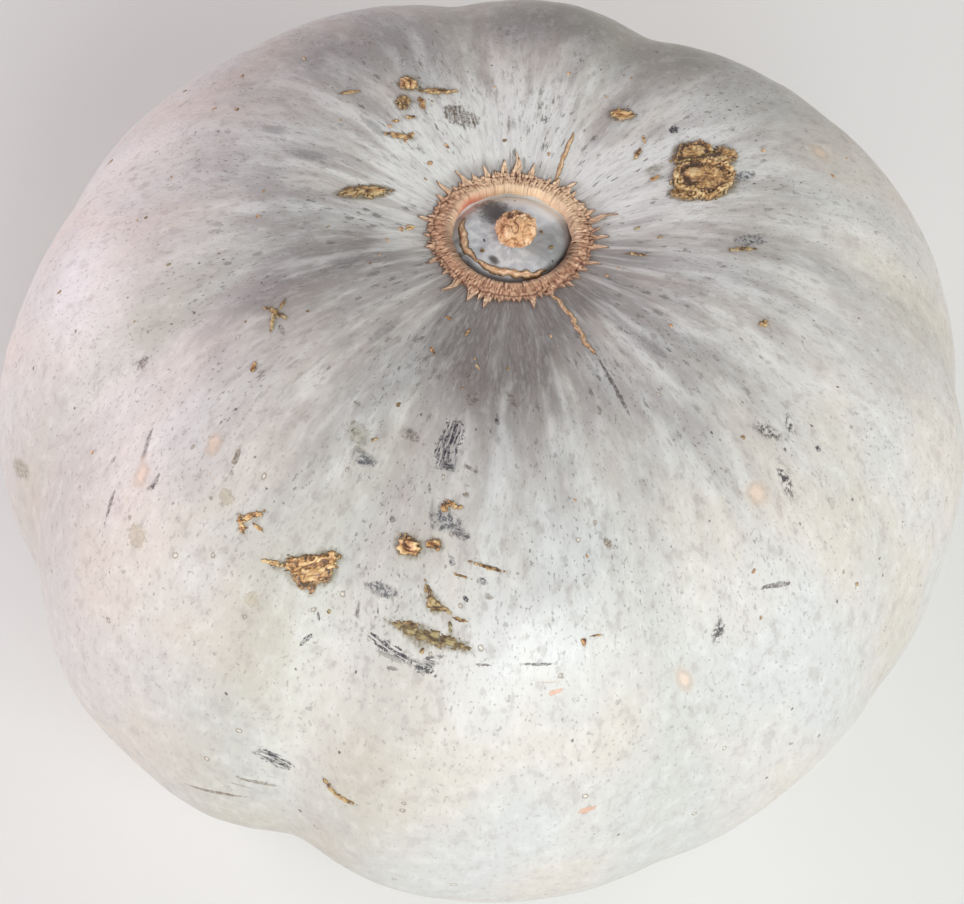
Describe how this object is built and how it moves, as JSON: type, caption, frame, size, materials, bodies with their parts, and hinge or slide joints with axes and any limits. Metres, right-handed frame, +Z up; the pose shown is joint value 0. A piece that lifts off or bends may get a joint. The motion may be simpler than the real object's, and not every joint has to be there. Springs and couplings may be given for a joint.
{
  "type": "pumpkin",
  "caption": "Whole ribbed grey-white pumpkin sitting on its stem end, blossom scar ring and dried style on top, cut stem stub recessed beneath.",
  "frame": {"origin": "on the surface the pumpkin rests on, under the middle of its outline", "axes": "+Z up along the fruit's axis from stem end to blossom end, -Y towards the viewer's side, +X to the viewer's right"},
  "size_m": [0.2454, 0.2456, 0.1428],
  "materials": {
    "rind": "waxy grey-white pumpkin skin with a satin bloom and fine grey-green flecks",
    "cork": "dry golden-brown corky scar tissue, matt and fibrous",
    "dry_stem": "dry fissured corky stem, matt"
  },
  "bodies": {
    "root": {"fruit": "rind", "stem": "dry_stem", "style_button": "cork"}
  },
  "joints": []
}
